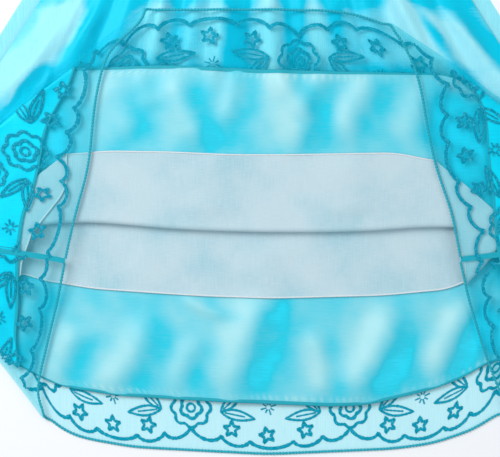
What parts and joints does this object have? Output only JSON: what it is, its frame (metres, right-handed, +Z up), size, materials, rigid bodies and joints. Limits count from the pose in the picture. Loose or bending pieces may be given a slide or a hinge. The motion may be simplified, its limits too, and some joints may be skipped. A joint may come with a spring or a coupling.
{
  "type": "princess costume dress",
  "caption": "Child's princess costume dress with sheer, satin and white skirt layers, laid flat with its skirt front turned up.",
  "frame": {"origin": "on the floor under the middle of the dress as it lies", "axes": "+X to the picture's right, +Y from the hem towards the shoulders, +Z up from the floor"},
  "size_m": [0.844, 0.9314, 0.0284],
  "materials": {
    "sheer_cloth": "satin",
    "satin_cloth": "satin",
    "white_cloth": "matte",
    "closure_tape": "matte"
  },
  "bodies": {
    "root": {"overskirt_front": "sheer_cloth", "overskirt_back": "sheer_cloth", "satin_front": "satin_cloth", "satin_back": "satin_cloth", "petticoat_front": "white_cloth", "petticoat_back": "white_cloth", "folded_core": "white_cloth", "bodice_front": "satin_cloth", "bodice_back_left": "satin_cloth", "bodice_back_right": "satin_cloth", "back_closure": "closure_tape"}
  },
  "joints": []
}
